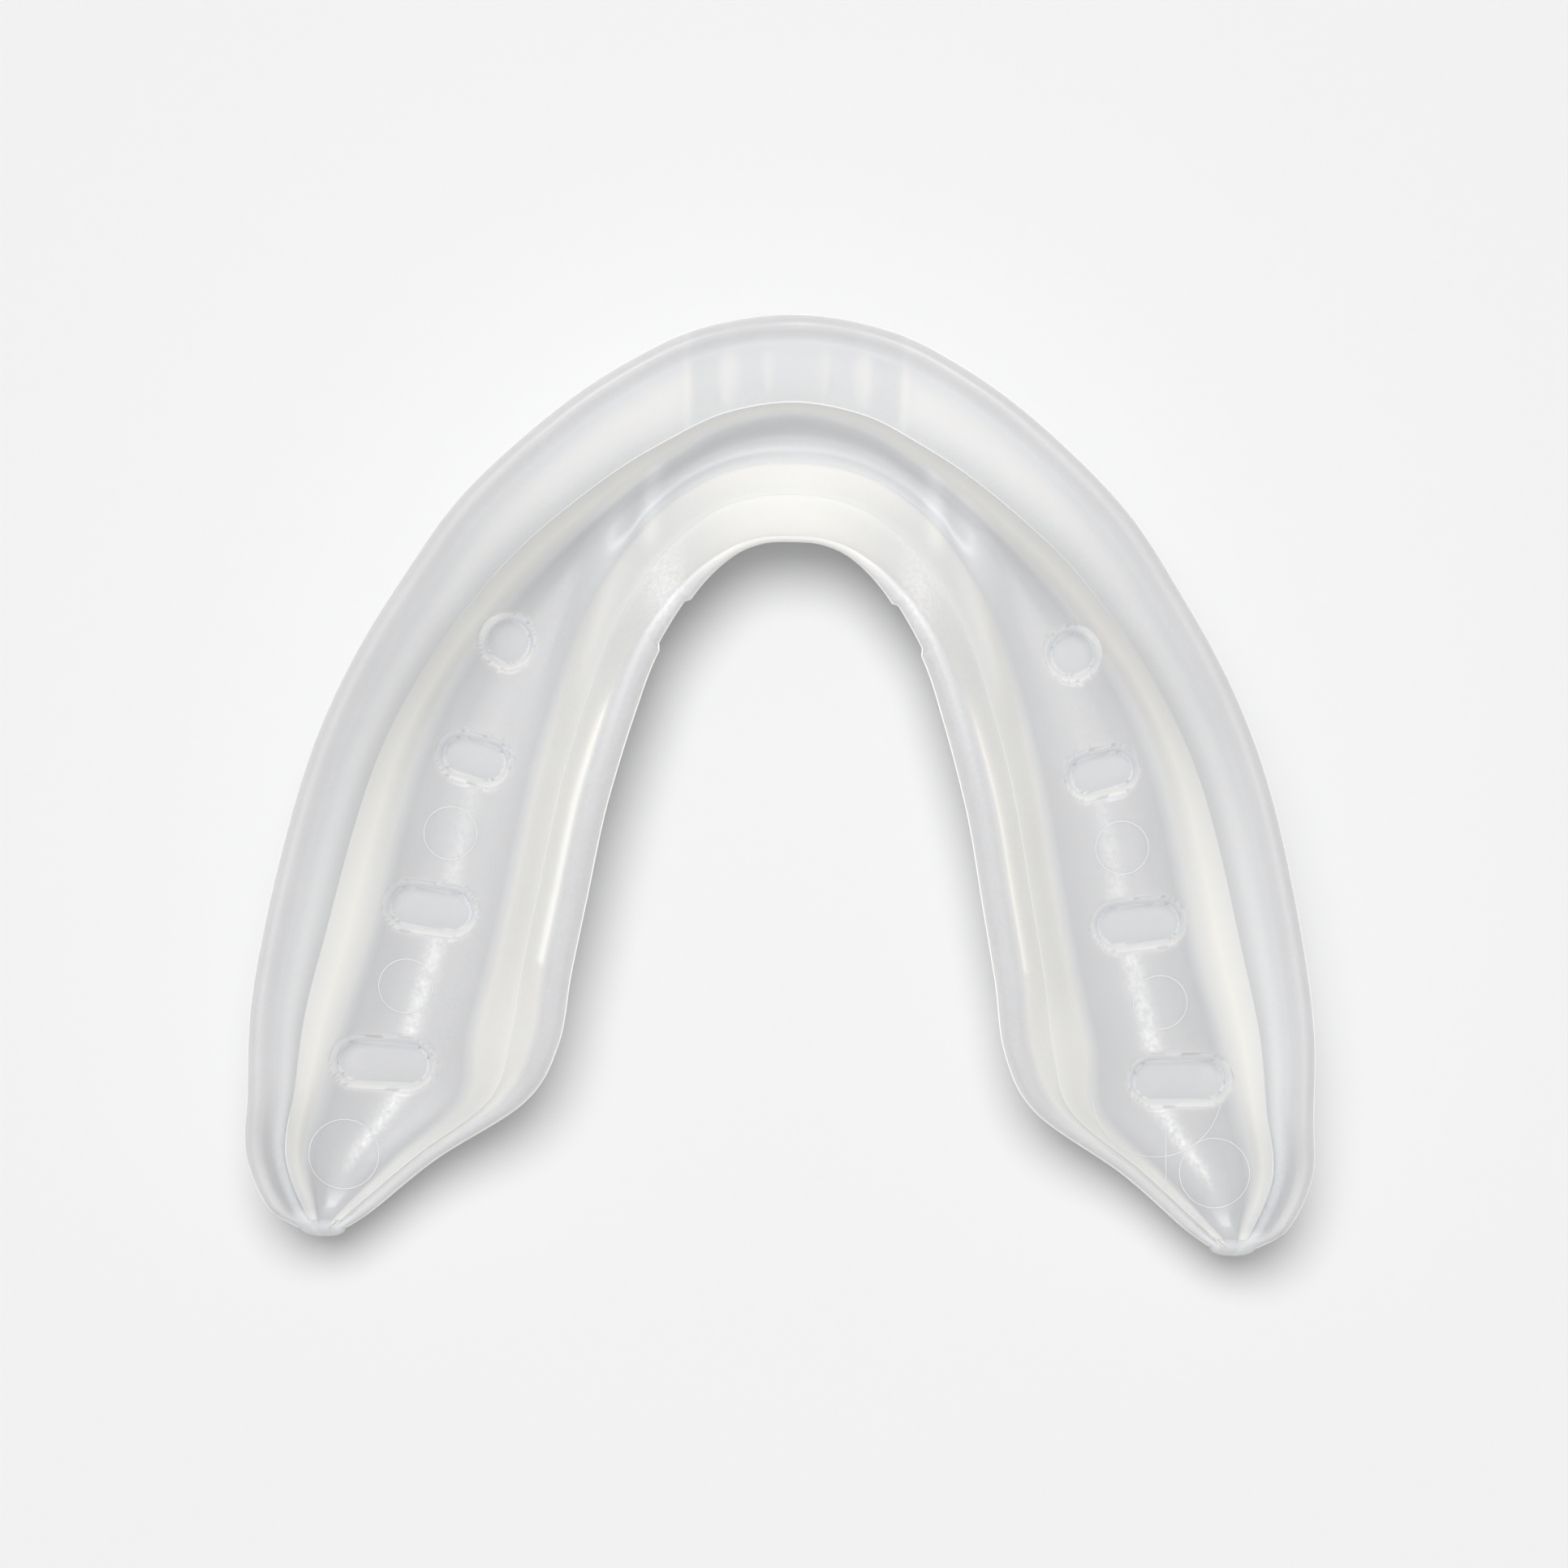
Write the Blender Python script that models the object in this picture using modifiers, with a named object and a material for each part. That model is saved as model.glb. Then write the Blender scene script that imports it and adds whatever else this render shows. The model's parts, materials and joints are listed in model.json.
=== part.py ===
"""Upper mouthguard, boil-and-bite type: an outer shell and the fitting liner bonded into its channel.

Frame: +X to the wearer's left arm, +Y to the front teeth, +Z up. The channel for the teeth opens upwards
and the flat underside rests on z = 0. The origin is at the bottom centre of the bounding box.
Lengths in the tables below are in millimetres and are turned into metres by MM.
"""
import math

import bmesh
import bpy
from mathutils import Matrix, Vector

MM = 0.001

# Driving dimensions, millimetres
FLOOR_CROWN = 0.25       # how far the middle of the floor dips below its sides
FLOOR_FILLET = 0.8       # height of the fillet between the floor and the lip-side wall
TONGUE_FILLET = 0.4      # and between the floor and the tongue-side wall
FILLET_TAIL = 0.35       # share of a fillet's height left at the first point of the floor beside it
LINER_FLOOR = 2.0        # thickness of the liner on the bite floor
LINER_EDGE = 1.0         # and at its two edges, up the walls
WELL_FLOOR_Z = 2.95      # height of the wells' floors
WELL_CUT_HEIGHT = 6.0    # height of the prisms that cut the wells
BOND_GAP = 0.3           # clearance kept between the two bonded pieces
RIM_WIDTH = 1.6          # thickness of the lip-side flange at its rim
RIM_DROP = 1.1           # height of the bevel on the channel side of the rim
WALL_BREAK = 0.36        # height of the slope break in the lip-side wall, as a share of the wall
BASE_OUTER_INSET = 3.4   # the base is this much narrower than the rim on the lip side
BASE_INNER_INSET = 1.6   # and this much on the tongue side
NARROW_WIDTH = 14.0      # sections narrower than this get smaller insets in proportion
NARROW_FILLET = 8.0      # and below this width smaller fillets and a smaller rim
HEEL_ROUND = ((0.30, 0.90), (0.52, 0.68))  # the rounded end of the heel: distance out and share of size left
STEPS_PER_STATION = 4    # sections between two stations
MIDDLE_Y = 0.05          # middle of the arch's length in the tables, moved to the origin
LINER_END = 12.50        # station at which the liner stops
SEAT_END = 12.64         # station at which the liner's seat in the shell stops
SEAT_RUNOUT = 0.08       # stations over which the seat rises to the floor
SEAT_SCAR = 0.05         # depth left of the seat behind the liner
THINNING = 1.5           # how fast the liner thins on narrow sections

# Stations along one half of the arch, from the middle of the front to the tip of the heel.
# Each gives the outer and inner contour points seen from above, the height of the lip-side rim and of the
# tongue-side lip, and the widths across the channel: liner edge and floor edge from the outer contour,
# floor edge, liner edge and lip from the inner contour, and the height of the floor.
STATIONS = (
    # outer x, y     inner x, y      rim   lip   edge  floor floor edge  lip   floor z
    (0.00, 27.80, 0.00, 14.67, 18.4, 7.0, 5.1, 5.8, 4.0, 3.3, 0.35, 4.6),
    (5.30, 26.95, 1.90, 14.50, 19.3, 7.1, 5.1, 5.9, 4.2, 3.3, 0.40, 4.6),
    (9.60, 24.95, 3.75, 13.60, 19.9, 7.3, 5.1, 6.0, 4.4, 3.3, 0.60, 4.6),
    (14.20, 21.75, 5.80, 11.45, 20.0, 7.8, 5.0, 6.2, 4.6, 3.2, 1.10, 4.6),
    (19.50, 16.75, 8.00, 7.70, 19.5, 8.5, 4.4, 5.9, 4.9, 3.2, 1.60, 4.6),
    (23.15, 11.55, 9.30, 4.00, 18.3, 8.9, 3.9, 5.4, 4.7, 3.2, 1.80, 4.6),
    (25.80, 7.10, 10.40, 0.20, 17.0, 9.1, 3.7, 5.3, 4.5, 3.2, 1.85, 4.6),
    (27.85, 2.65, 11.10, -2.70, 15.6, 9.1, 3.6, 5.3, 4.4, 3.1, 1.85, 4.6),
    (29.45, -2.30, 11.85, -6.80, 14.2, 9.0, 3.6, 5.4, 4.4, 3.1, 1.85, 4.6),
    (30.95, -8.80, 12.75, -11.60, 12.9, 8.8, 3.8, 5.5, 4.5, 3.1, 1.85, 4.6),
    (31.80, -14.20, 13.45, -15.90, 11.8, 8.3, 3.9, 5.1, 4.9, 3.1, 1.70, 4.6),
    (31.80, -19.20, 15.40, -19.40, 10.4, 7.2, 3.5, 4.3, 3.4, 2.3, 1.40, 4.6),
    (32.05, -22.90, 20.70, -23.00, 8.4, 5.9, 3.0, 3.6, 1.9, 1.3, 0.90, 4.6),
    (30.30, -25.70, 24.60, -26.00, 7.4, 5.6, 2.2, 2.7, 1.1, 0.8, 0.50, 4.6),
    (28.10, -27.10, 26.50, -27.20, 6.6, 5.7, 0.65, 0.8, 0.5, 0.35, 0.25, 5.1),
)

# Points across the bite floor: share of its width from the lip side, and the fillet next to that point
FLOOR_PARTS = ((0.1, FLOOR_FILLET), (0.27, 0.0), (0.5, 0.0), (0.73, 0.0), (0.9, TONGUE_FILLET))

# Wells sunk into the liner's floor on one side: centre x, y, length, width and turn in degrees
WELLS = (
    (17.10, 8.30, 3.30, 3.30, 0.0),
    (19.00, 1.16, 4.60, 3.00, 15.0),
    (21.45, -7.96, 5.60, 3.20, 7.0),
    (24.10, -17.35, 6.20, 3.20, 2.5),
)
WELL_SEGMENTS = 24

SHELL_COLOUR = (0.80, 0.81, 0.82, 1.0)
LINER_COLOUR = (0.86, 0.86, 0.84, 1.0)


def clear_scene():
    for item in list(bpy.data.objects):
        bpy.data.objects.remove(item, do_unlink=True)


def make_material(name, colour, roughness):
    material = bpy.data.materials.new(name)
    material.use_nodes = True
    shader = material.node_tree.nodes["Principled BSDF"]
    shader.inputs["Base Color"].default_value = colour
    shader.inputs["Roughness"].default_value = roughness
    shader.inputs["Metallic"].default_value = 0.0
    return material


def station_at(u):
    """Catmull-Rom reading of the station table at u; the half arch is mirrored before its first row."""
    last = len(STATIONS) - 1
    index = min(int(u), last - 1)
    f = u - index

    def row(i):
        if i < 0:
            front = STATIONS[-i]
            return (-front[0], front[1], -front[2]) + front[3:]
        if i > last:
            return tuple(2 * a - b for a, b in zip(STATIONS[last], STATIONS[last - 1]))
        return STATIONS[i]

    rows = [row(index + k) for k in (-1, 0, 1, 2)]
    return [0.5 * (2 * b + (c - a) * f + (2 * a - 5 * b + 4 * c - d) * f * f
                   + (3 * b - a - 3 * c + d) * f ** 3) for a, b, c, d in zip(*rows)]


def channel_path(width, st):
    """Surface of the channel below the liner's edges, from the lip side to the tongue side, as (s, z)."""
    rim, lip, edge_out, floor_out, floor_in, edge_in, lip_width, floor_z = st[4:12]
    small = min(1.0, width / NARROW_FILLET)
    top_out = floor_z + WALL_BREAK * (rim - floor_z)
    foot_z = floor_z + FLOOR_FILLET * small
    tongue_foot_z = floor_z + TONGUE_FILLET * small
    share = (floor_in - edge_in) / max(floor_in - lip_width, 0.05)
    top_in = tongue_foot_z + share * (lip - 0.3 * small - tongue_foot_z)
    left, right = floor_out, width - floor_in
    floor = []
    for part, fillet in FLOOR_PARTS:
        dip = FLOOR_CROWN * small * math.sin(math.pi * part)
        floor.append((left + part * (right - left), floor_z - dip + FILLET_TAIL * fillet * small))
    return ([(edge_out, top_out), (0.5 * (edge_out + left), 0.5 * (top_out + foot_z)), (left, foot_z)]
            + floor + [(right, tongue_foot_z), (width - edge_in, top_in)])


def sink(path, edge_depth, floor_depth):
    """The path moved into the material, square to itself, by less at its two ends than at the floor."""
    moved = []
    last = len(path) - 1
    for i, (s, z) in enumerate(path):
        depth = edge_depth + (floor_depth - edge_depth) * min(1.0, 0.5 * min(i, last - i))
        before = path[max(i - 1, 0)]
        after = path[min(i + 1, last)]
        run = Vector((after[0] - before[0], after[1] - before[1])).normalized()
        moved.append((s + run.y * depth, z - run.x * depth))
    return moved


def liner_share(width):
    """Share of its full thickness that the liner has on a section of this width."""
    return min(1.0, width / NARROW_WIDTH) ** THINNING


def trimmed(path, length):
    """The path with both its ends drawn back by length."""
    points = [Vector(p) for p in path]
    points[0] += (points[1] - points[0]).normalized() * length
    points[-1] += (points[-2] - points[-1]).normalized() * length
    return [tuple(p) for p in points]


def shell_section(u, width, st):
    """Closed outline of the shell across the channel, anticlockwise, as (s, z)."""
    rim, lip = st[4], st[5]
    lip_width = st[10]
    k = min(1.0, width / NARROW_WIDTH)
    small = min(1.0, width / NARROW_FILLET)
    fade = min(max((u - SEAT_END) / SEAT_RUNOUT, 0.0), 1.0)
    depths = [liner_share(width) * thickness + BOND_GAP for thickness in (LINER_EDGE, LINER_FLOOR)]
    depths = [depth + (SEAT_SCAR - depth) * fade for depth in depths]
    path = channel_path(width, st)
    seat = sink(path, *depths)
    rim_width = min(RIM_WIDTH, st[6] * 0.6)
    outer, inner = BASE_OUTER_INSET * k, BASE_INNER_INSET * k
    base = [(outer, 0.0), (0.5 * (outer + width - inner), 0.0), (width - inner, 0.0),
            (width - 0.55 * inner, 0.5), (width - 0.3 * inner, 2.0), (width - 0.07 * inner, lip - 1.4),
            (width, lip - 0.7), (width - 0.16 * lip_width, lip - 0.12),
            (width - 0.75 * lip_width, lip), (width - lip_width, lip - 0.3 * small)]
    flange = [(rim_width, rim - RIM_DROP * small), (0.62 * rim_width, rim - 0.2 * small),
              (0.34 * rim_width, rim), (0.12 * rim_width, rim - 0.25 * small), (0.0, rim - small),
              (0.1 * outer, rim - 2.6 * small), (0.42 * outer, 0.52 * rim), (0.76 * outer, 2.2),
              (0.88 * outer, 0.6)]
    return base + [path[-1]] + seat[::-1] + [path[0]] + flange


def liner_section(u, width, st):
    """Closed outline of the liner across the channel, anticlockwise, as (s, z)."""
    path = trimmed(channel_path(width, st), BOND_GAP)
    share = liner_share(width)
    return sink(path, share * LINER_EDGE, share * LINER_FLOOR) + path[::-1]


def places_to(end, extra=()):
    """Stations of the sections from the middle to the end, evenly spaced, with a few more at sharp steps."""
    count = int(round(end * STEPS_PER_STATION))
    return sorted([end * i / count for i in range(count + 1)] + list(extra))


def rounded_end(rings):
    """Further rings past the last one, each smaller, which round the end of the tube."""
    middles = [sum(ring, Vector()) / len(ring) for ring in rings[-2:]]
    ahead = (middles[1] - middles[0]).normalized()
    return [[middles[1] + ahead * advance + (spot - middles[1]) * share for spot in rings[-1]]
            for advance, share in HEEL_ROUND]


def loft(name, section, places, rounded, material, collection):
    """Half the arch as a tube of sections, open at the middle plane, mirrored to a whole one."""
    spots = []
    for u in places:
        st = station_at(u)
        outer, inner = Vector(st[0:2]), Vector(st[2:4])
        across = inner - outer
        width = across.length
        across.normalize()
        ring = []
        for s, z in section(u, width, st):
            spot = outer + across * s
            ring.append(Vector((0.0 if u == 0 else spot.x, spot.y - MIDDLE_Y, z)))
        spots.append(ring)
    if rounded:
        spots += rounded_end(spots)
    mesh_builder = bmesh.new()
    rings = [[mesh_builder.verts.new(spot * MM) for spot in ring] for ring in spots]
    for near, far in zip(rings, rings[1:]):
        for i in range(len(near)):
            j = (i + 1) % len(near)
            mesh_builder.faces.new((near[i], near[j], far[j], far[i]))
    mesh_builder.faces.new(rings[-1])
    bmesh.ops.triangulate(mesh_builder, faces=mesh_builder.faces[:])
    bmesh.ops.recalc_face_normals(mesh_builder, faces=mesh_builder.faces[:])
    mesh = bpy.data.meshes.new(name)
    mesh_builder.to_mesh(mesh)
    mesh_builder.free()
    mesh.materials.append(material)
    piece = bpy.data.objects.new(name, mesh)
    collection.objects.link(piece)
    mirror = piece.modifiers.new("other_half", 'MIRROR')
    mirror.use_axis = (True, False, False)
    mirror.merge_threshold = 0.00001
    return piece


def well_cutter(name, x, y, length, width, turn, collection):
    """Upright prism with round ends, as long and as wide as the well, from the well's floor upwards."""
    radius = 0.5 * width
    reach = 0.5 * (length - width)
    builder = bmesh.new()
    rim = []
    for i in range(WELL_SEGMENTS):
        angle = 2 * math.pi * (i + 0.5) / WELL_SEGMENTS
        shift = reach if math.cos(angle) > 0 else -reach
        rim.append(builder.verts.new((radius * math.cos(angle) + shift, radius * math.sin(angle), 0.0)))
    base = builder.faces.new(rim)
    top = bmesh.ops.extrude_face_region(builder, geom=[base])
    lifted = [v for v in top["geom"] if isinstance(v, bmesh.types.BMVert)]
    bmesh.ops.translate(builder, verts=lifted, vec=(0.0, 0.0, WELL_CUT_HEIGHT))
    bmesh.ops.recalc_face_normals(builder, faces=builder.faces[:])
    spot = Matrix.Translation((x, y - MIDDLE_Y, WELL_FLOOR_Z))
    place = Matrix.Scale(MM, 4) @ spot @ Matrix.Rotation(turn, 4, 'Z')
    bmesh.ops.transform(builder, matrix=place, verts=builder.verts[:])
    mesh = bpy.data.meshes.new(name)
    builder.to_mesh(mesh)
    builder.free()
    cutter = bpy.data.objects.new(name, mesh)
    collection.objects.link(cutter)
    cutter.hide_render = True
    cutter.display_type = 'WIRE'
    return cutter


def cut_wells(liner, collection):
    for side in (1, -1):
        for number, (x, y, length, width, turn) in enumerate(WELLS, 1):
            label = "well_%s_%d" % ("left" if side > 0 else "right", number)
            cutter = well_cutter(label, side * x, y, length, width, math.radians(side * turn), collection)
            cut = liner.modifiers.new(label, 'BOOLEAN')
            cut.operation = 'DIFFERENCE'
            cut.object = cutter


def main():
    clear_scene()
    pieces = bpy.data.collections.new("mouthguard")
    cutters = bpy.data.collections.new("cutters")
    bpy.context.scene.collection.children.link(pieces)
    bpy.context.scene.collection.children.link(cutters)
    shell_finish = make_material("frosted_shell", SHELL_COLOUR, 0.35)
    liner_finish = make_material("clear_liner", LINER_COLOUR, 0.25)
    seat_step = (SEAT_END, SEAT_END + SEAT_RUNOUT)
    shell_places = places_to(len(STATIONS) - 1, seat_step)
    loft("outer_shell", shell_section, shell_places, True, shell_finish, pieces)
    liner = loft("fit_liner", liner_section, places_to(LINER_END), False, liner_finish, pieces)
    cut_wells(liner, cutters)


main()
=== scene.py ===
"""Looks of an upper mouthguard: a frosted outer shell with a milky fitting liner bonded into its channel.

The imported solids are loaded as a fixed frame. The fine shell and liner replace them, and the thin flash
line of the mould and the rings left by its ejector pins are added. Lengths in tables are millimetres.
"""
import json
import math

import bmesh
import bpy
import numpy as np
from mathutils import Matrix, Vector

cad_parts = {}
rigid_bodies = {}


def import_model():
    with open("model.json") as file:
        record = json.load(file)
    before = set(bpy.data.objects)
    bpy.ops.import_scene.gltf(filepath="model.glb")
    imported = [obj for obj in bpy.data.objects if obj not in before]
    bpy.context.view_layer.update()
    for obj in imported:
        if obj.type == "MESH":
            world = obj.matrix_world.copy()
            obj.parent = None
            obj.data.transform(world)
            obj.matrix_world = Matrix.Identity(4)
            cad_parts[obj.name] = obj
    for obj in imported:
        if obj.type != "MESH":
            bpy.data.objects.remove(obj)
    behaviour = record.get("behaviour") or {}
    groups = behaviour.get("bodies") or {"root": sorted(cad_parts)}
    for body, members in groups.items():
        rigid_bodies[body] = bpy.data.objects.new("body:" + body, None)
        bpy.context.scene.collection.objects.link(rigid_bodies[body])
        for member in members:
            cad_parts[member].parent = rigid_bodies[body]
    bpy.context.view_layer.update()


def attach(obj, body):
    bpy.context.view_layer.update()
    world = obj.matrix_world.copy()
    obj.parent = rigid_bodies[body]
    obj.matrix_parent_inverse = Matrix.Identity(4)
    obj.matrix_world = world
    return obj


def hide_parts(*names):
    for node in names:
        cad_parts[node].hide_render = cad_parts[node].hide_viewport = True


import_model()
MM = 0.001

bl_info = {
    "name": "Mouthguard Looks",
    "version": (1, 0, 0),
    "blender": (4, 5, 0),
    "location": "View3D > Sidebar > Mouthguard",
    "description": "Builds the fine pieces, finishes and studio of a boil-and-bite mouthguard",
    "category": "Object",
}

# Stations along one half of the arch, from the middle of the front to the tip of the heel: outer contour
# x, y and inner contour x, y seen from above, height of the lip-side rim and of the tongue-side lip, then
# widths across the channel: liner edge and floor edge from the outer contour, floor edge, liner edge and
# lip from the inner contour, and the height of the bite floor.
STATIONS = np.array((
    (0.00, 27.80, 0.00, 14.67, 18.4, 7.0, 4.9, 5.4, 4.6, 3.0, 0.35, 4.6),
    (5.30, 26.95, 1.90, 14.50, 19.3, 7.1, 4.9, 5.5, 4.6, 3.0, 0.40, 4.6),
    (9.60, 24.95, 3.75, 13.60, 19.9, 7.3, 4.9, 5.7, 4.7, 3.1, 0.60, 4.6),
    (14.20, 21.75, 5.80, 11.45, 20.0, 7.8, 4.7, 5.9, 4.9, 3.2, 1.10, 4.6),
    (19.50, 16.75, 8.00, 7.70, 19.5, 8.5, 4.4, 5.9, 4.9, 3.2, 1.60, 4.6),
    (23.15, 11.55, 9.30, 4.00, 18.3, 8.9, 3.9, 5.4, 4.7, 3.2, 1.80, 4.6),
    (25.80, 7.10, 10.40, 0.20, 17.0, 9.1, 3.7, 5.3, 4.5, 3.2, 1.85, 4.6),
    (27.85, 2.65, 11.10, -2.70, 15.6, 9.1, 3.6, 5.5, 4.4, 3.1, 1.85, 4.6),
    (29.45, -2.30, 11.85, -6.80, 14.2, 9.0, 3.6, 5.8, 4.4, 3.1, 1.85, 4.6),
    (30.95, -8.80, 12.75, -11.60, 12.9, 8.8, 3.5, 5.9, 4.5, 3.1, 1.85, 4.6),
    (31.80, -14.20, 13.45, -15.90, 11.8, 8.3, 3.1, 5.2, 4.9, 3.1, 1.70, 4.6),
    (31.95, -19.20, 15.40, -19.40, 10.4, 7.2, 2.7, 4.1, 3.4, 2.3, 1.60, 4.6),
    (32.05, -22.90, 20.70, -23.00, 8.4, 5.9, 2.5, 3.4, 2.1, 1.5, 1.20, 4.6),
    (30.75, -26.05, 24.50, -26.20, 7.2, 5.6, 2.2, 2.8, 1.7, 1.3, 1.00, 4.6),
    (28.90, -27.30, 26.10, -27.30, 5.9, 5.5, 1.15, 1.25, 1.10, 1.00, 0.80, 5.4),
))
MIDDLE_Y = 0.05          # middle of the arch's length in the tables, which is the frame's origin
FULL_WIDTH = 14.0        # width of a section from which its base and liner have their full size
ROUND_WIDTH = 8.0        # width of a section from which its fillets and rims have their full size
LINER_END = 13.50        # station at which the liner stops, in the point of the heel
LINER_FEATHER = 0.8      # stations over which it thins out before its end

# Wells of one side: centre x, y, length, width and turn in degrees
WELLS = (
    (17.10, 8.30, 3.55, 3.55, 0.0),
    (19.00, 1.16, 4.75, 3.15, 15.0),
    (21.45, -7.96, 5.85, 3.30, 7.0),
    (24.10, -17.35, 6.45, 3.35, 2.5),
)
WELL_WALL = 0.42         # width of a well's wall, seen from above
WELL_SHOULDER = (0.28, 0.126)            # rounded top of the wall: share of its width and of its depth
WELL_LINES = (0.0, -0.12, -WELL_WALL)    # distances from a well's outline at which its wall has an edge
# Rings left by the ejector pins on one side: centre x, y and radius
PIN_MARKS = ((20.30, -3.37, 1.60), (22.80, -12.66, 1.62), (26.30, -22.90, 2.10))
# Marks on the +X arm only: the ring of the mould's gate, whose heel half shows, and the short seam that
# runs out of it
GATE_RING = (22.70, -18.10, 3.90)
GATE_SEAM = ((23.30, -19.50), (23.40, -24.00))
# Points across the bite floor: share of its width from the lip side, and which fillet is next to it
FLOOR_PARTS = ((0.1, "fillet"), (0.27, ""), (0.5, ""), (0.73, ""), (0.9, "tongue_fillet"))
FILLET_TAIL = 0.35       # share of a fillet's height left at the first point of the floor beside it
NOTCH = (3.17, 3.92)     # stations between which the inner contour stands back a little
# Raised folds between the front channel and each back channel: x and y of both ends, half width
FOLDS = ((8.50, 19.00, 8.70, 14.00, 0.42), (10.50, 17.30, 12.40, 5.00, 0.95))
# Upright grooves behind the front flange: x of both sides
GROOVES = ((1.9, 3.9), (4.4, 6.3))
# Painted highlights in upright lines beside the grooves: x, half width and how brightly they show
GROOVE_HIGHLIGHTS = ((1.75, 0.2, 0.15), (4.0, 0.3, 0.5), (6.45, 0.16, 1.0))
STREAK_PART = 0.53       # where the floor's long painted highlight lies, as a share of its width
# Control points of the shell's outline: both contours, and the lip's crest with the number of parts there
OUTER_CONTOUR, INNER_CONTOUR, LIP_CREST, LIP_PARTS = 5, 16, 18, 4
# Longest part of an outline: outside and seat of the shell, top and underside of the liner
SHELL_LEG, SEAT_LEG, LINER_LEG, UNDER_LEG = 0.45, 0.5, 0.2, 0.8
SEAT_GAP = 0.05          # space between the liner and its seat in the shell
LINE_SIDES = 6           # sides of a raised line's section

# Finishes: roughness, how far light scatters inside in metres, cloudiness and grain
FINISHES = {
    "frosted_shell": (0.40, 0.0012, 0.12, 0.55),
    "clear_liner": (0.34, 0.0008, 0.08, 0.5),
    "mould_flash": (0.35, 0.0004, 0.05, 0.3),
    "pin_mark": (0.3, 0.0004, 0.05, 0.2),
}
GRAIN_DEPTH = 0.00002    # depth of the frosted surface's grain, in metres
PAINTED_GLOW_STRENGTH = 0.32       # strength of the painted glow, an emission that stands in for light gathering inside the material
SHADOW_LIGHT = 0.75      # share of the light that passes where the material is thinnest

# Studio: light from all round, then each sun's name, strength, angle across and the way to it
ROOM_LIGHT = 0.38
SUNS = (("overhead_softbox", 1.88, 30.0, (-0.07, 0.35, 1.0)),
        ("front_fill", 0.7, 50.0, (0.0, -0.75, 1.0)))
# Camera in metres: its place, its turn in degrees, and the width that it sees at a height near the rim
CAMERA_PLACE, CAMERA_TURN = (-0.00021, -0.00001, 0.60), 1.25
VIEW_WIDTH, VIEW_HEIGHT = 0.0926, 0.018


def length(name, description, millimetres):
    """Property for a length, in metres, given in millimetres."""
    return bpy.props.FloatProperty(name=name, description=description, default=millimetres * MM,
                                   min=0.0, subtype='DISTANCE', unit='LENGTH', precision=5)


def tint(name, description, default):
    return bpy.props.FloatVectorProperty(name=name, description=description, default=default,
                                         size=4, min=0.0, max=1.0, subtype='COLOR')


class GuardSizes(bpy.types.PropertyGroup):
    """Sizes of the moulded pieces."""
    ring_step: length("Ring step", "Distance between two sections of the fine pieces", 0.24)
    rim_width: length("Rim width", "Thickness of the lip-side flange at its rim", 1.6)
    rim_drop: length("Rim drop", "Height of the bevel on the channel side of the rim", 1.1)
    base_outer: length("Base inset, lip side", "How far the base stands in from the rim", 3.4)
    base_inner: length("Base inset, tongue side", "How far the base stands in from the inner contour", 1.6)
    fillet: length("Floor fillet", "Height of the fillet beside the lip-side wall", 0.8)
    tongue_fillet: length("Tongue fillet", "Height of the fillet beside the tongue-side wall", 0.4)
    crown: length("Floor dip", "How far the middle of the floor lies below its sides", 0.25)
    liner_floor: length("Liner on floor", "Thickness of the liner on the bite floor", 2.0)
    liner_edge: length("Liner at edges", "Thickness of the liner at its edges up the walls", 1.0)
    bond_lap: length("Bond lap", "How far the liner's feathered edge laps over the shell", 0.2)
    well_depth: length("Well depth", "Depth of the wells in the bite floor", 1.55)
    groove_depth: length("Groove depth", "Depth of the upright grooves behind the front flange", 0.14)
    fold_height: length("Fold height", "Height of the folds between front and back channel", 0.5)
    notch_depth: length("Notch depth", "How far the inner contour stands back at its notches", 0.25)
    heel_reach: length("Heel reach", "How far the heel's rounded end stands out", 0.65)
    line_radius: length("Mould line radius", "Half the width of the lines that the mould leaves", 0.055)


class GuardColours(bpy.types.PropertyGroup):
    """Colours of the finishes."""
    # Body is the colour where no light is painted; flange light and wall light are painted light, and
    # glints painted highlights, which the layers mix into it
    body: tint("Body", "Colour of the frosted material where it lies flat", (0.575, 0.577, 0.585, 1.0))
    cool: tint("Flange light", "Colour of the shell where light runs along it", (0.91, 0.925, 0.95, 1.0))
    warm: tint("Wall light", "Colour of the channel's walls where light gathers", (0.95, 0.935, 0.88, 1.0))
    glint: tint("Glints", "Colour of the highlights that lie on the channel", (0.97, 0.97, 0.96, 1.0))
    floor: tint("Floor", "Colour of the pale studio floor", (0.937, 0.937, 0.937, 1.0))


def sizes():
    return bpy.context.scene.guard_sizes


def colours():
    return bpy.context.scene.guard_colours


# Arch geometry -------------------------------------------------------------------------------------


def stations_at(places):
    """Rows of the station table read at the given places by a Catmull-Rom spline, which carries on past
    the middle with the mirror image of the first row after it."""
    mirrored = STATIONS[1] * np.array([-1, 1, -1] + [1] * 9)
    rows = np.vstack([mirrored, STATIONS, 2 * STATIONS[-1] - STATIONS[-2]])
    index = np.clip(places.astype(int), 0, len(STATIONS) - 2)
    f = (places - index)[:, None]
    a, b, c, d = (rows[index + k] for k in range(4))
    return 0.5 * (2 * b + (c - a) * f + (2 * a - 5 * b + 4 * c - d) * f ** 2
                  + (3 * b - a - 3 * c + d) * f ** 3)


def even_places(end, step):
    """Places along the half arch from 0 to end, a step apart along the middle of the channel."""
    dense = np.linspace(0.0, end, 1200)
    st = stations_at(dense)
    middle = 0.5 * (st[:, 0:2] + st[:, 2:4])
    run = np.concatenate([[0.0], np.cumsum(np.linalg.norm(np.diff(middle, axis=0), axis=1))])
    count = int(round(run[-1] / step)) + 1
    return np.interp(np.linspace(0.0, run[-1], count), run, dense)


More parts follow.
